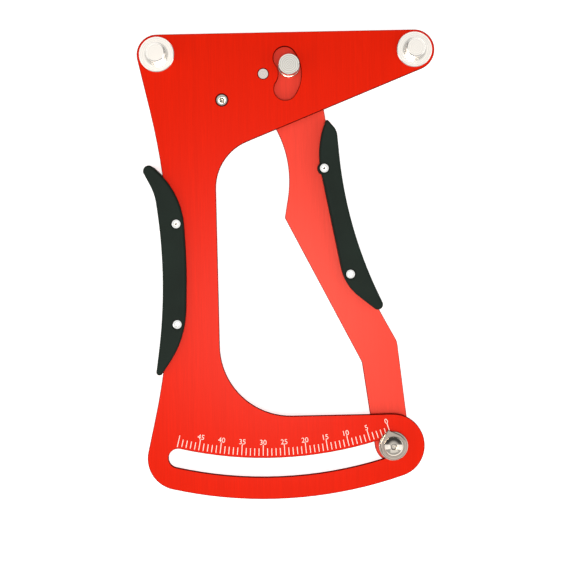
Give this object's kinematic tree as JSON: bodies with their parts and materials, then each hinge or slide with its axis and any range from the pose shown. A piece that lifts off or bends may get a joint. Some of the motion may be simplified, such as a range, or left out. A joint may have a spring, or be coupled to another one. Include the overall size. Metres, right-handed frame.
{
  "type": "spoke tension meter",
  "caption": "Squeeze-grip spoke tension meter: C-shaped plate with fixed posts, a sprung lever with a moving post, and a pointer over a curved scale.",
  "frame": {"origin": "middle of the footprint on the plane of the grips' rear faces, on which the tool lies", "axes": "+Z out of the tool's front face, +Y from the scale end to the posts, +X from the fixed grip to the moving grip"},
  "size_m": [0.149, 0.2335, 0.025],
  "materials": {
    "frame_red": "red anodised, fine vertical brushed grain",
    "lever_red": "lighter red anodised, satin",
    "grip_black": "moulded green-black plastic, fine matt grain",
    "bright_metal": "turned and polished",
    "fastener_steel": "bright zinc plated",
    "spring_steel": "drawn wire, lightly oiled",
    "bronze": "sintered bronze",
    "white_plastic": "natural nylon",
    "scale_print": "printed white ink"
  },
  "bodies": {
    "frame": {"frame_plate": "frame_red", "left_post": "bright_metal", "right_post": "bright_metal", "post_screws": "fastener_steel", "post_washers": "fastener_steel", "anchor_screw": "fastener_steel", "anchor_post": "fastener_steel", "pivot_pin": "bright_metal", "pivot_clip": "spring_steel", "pivot_washer_front": "white_plastic", "pivot_washer_rear": "fastener_steel", "left_grip_rear": "grip_black", "left_grip_front": "grip_black", "left_grip_screws": "fastener_steel", "left_grip_nuts": "fastener_steel", "return_spring": "spring_steel"},
    "lever": {"lever_plate": "lever_red", "pivot_bush": "bronze", "moving_post": "bright_metal", "moving_post_nut": "fastener_steel", "lever_spring_post": "fastener_steel", "pointer_bush": "white_plastic", "pointer_washer": "bright_metal", "pointer": "bright_metal", "pointer_screw": "fastener_steel", "pointer_nut": "fastener_steel", "right_grip_rear": "grip_black", "right_grip_front": "grip_black", "right_grip_screws": "fastener_steel", "right_grip_nuts": "fastener_steel"}
  },
  "joints": [
    {"name": "lever_pivot", "type": "hinge", "parent": "frame", "child": "lever", "pos_m": [-0.0114, 0.09605, 0.009], "axis": [0, 0, -1], "range_deg": [0, 31.5], "stiffness_Nm_per_rad": 0.5, "springref_deg": -34.38, "deforming": ["return_spring"]}
  ]
}
